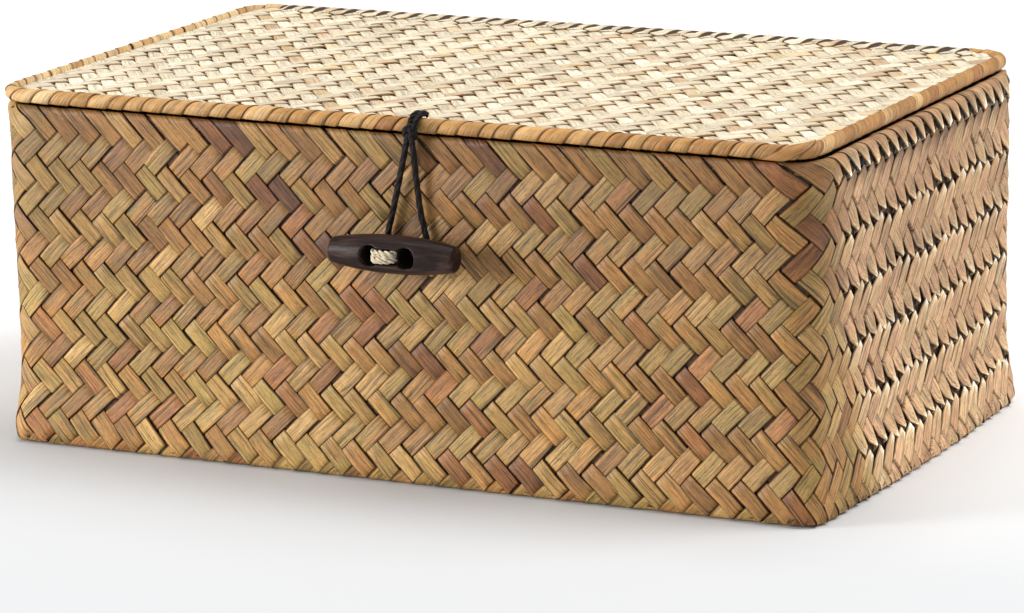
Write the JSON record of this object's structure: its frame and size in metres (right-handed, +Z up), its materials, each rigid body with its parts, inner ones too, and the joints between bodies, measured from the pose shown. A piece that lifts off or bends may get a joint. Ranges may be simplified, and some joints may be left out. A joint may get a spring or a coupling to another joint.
{
  "type": "storage box",
  "caption": "Rectangular hand-plaited seagrass storage box with rounded corners, a hinged woven lid with bound rim, and a wooden toggle held by a cord loop.",
  "frame": {"origin": "middle of the flat underside of the woven base", "axes": "+X along the length, to the right as seen from the front; +Y from the front, with the toggle, to the hinged back; +Z up"},
  "size_m": [0.2811, 0.1865, 0.1175],
  "materials": {
    "woven_wall": "matte",
    "woven_end_wall": "matte",
    "woven_base": "matte",
    "rim_strip": "matte",
    "cane": "satin",
    "woven_lid": "matte",
    "binding_strip": "matte",
    "hinge_strip": "matte",
    "toggle_wood": "satin",
    "thong_twine": "matte",
    "loop_cord": "matte"
  },
  "bodies": {
    "box": {"base_mat": "woven_base", "front_wall": "woven_wall", "right_wall": "woven_end_wall", "back_wall": "woven_wall", "left_wall": "woven_end_wall", "rim_front": "rim_strip", "rim_right": "rim_strip", "rim_back": "rim_strip", "rim_left": "rim_strip", "rim_hoop": "cane", "hinge_fold": "hinge_strip", "thong_anchor": "thong_twine"},
    "lid": {"lid_mat": "woven_lid", "lid_cane": "cane", "binding_front": "binding_strip", "binding_left": "binding_strip", "binding_right": "binding_strip", "loop_knot": "loop_cord"},
    "loop": {"loop_cord": "loop_cord"},
    "toggle": {"toggle_bar": "toggle_wood", "toggle_thong": "thong_twine"}
  },
  "joints": [
    {"name": "lid_hinge", "type": "hinge", "parent": "box", "child": "lid", "pos_m": [0, 0.0827, 0.1127], "axis": [-1, 0, 0], "range_deg": [0, 110], "deforming": ["loop_cord"]},
    {"name": "loop_swing", "type": "hinge", "parent": "lid", "child": "loop", "pos_m": [0.00905, -0.0872, 0.1075], "axis": [-1, 0, 0], "range_deg": [-90, 0]},
    {"name": "toggle_turn", "type": "hinge", "parent": "box", "child": "toggle", "pos_m": [0.0067, -0.09425, 0.075], "axis": [0, 1, 0], "range_deg": [-90, 90]}
  ],
  "couplings": [
    {"joint": "loop_swing", "follows": "lid_hinge", "ratio": -0.81818}
  ]
}
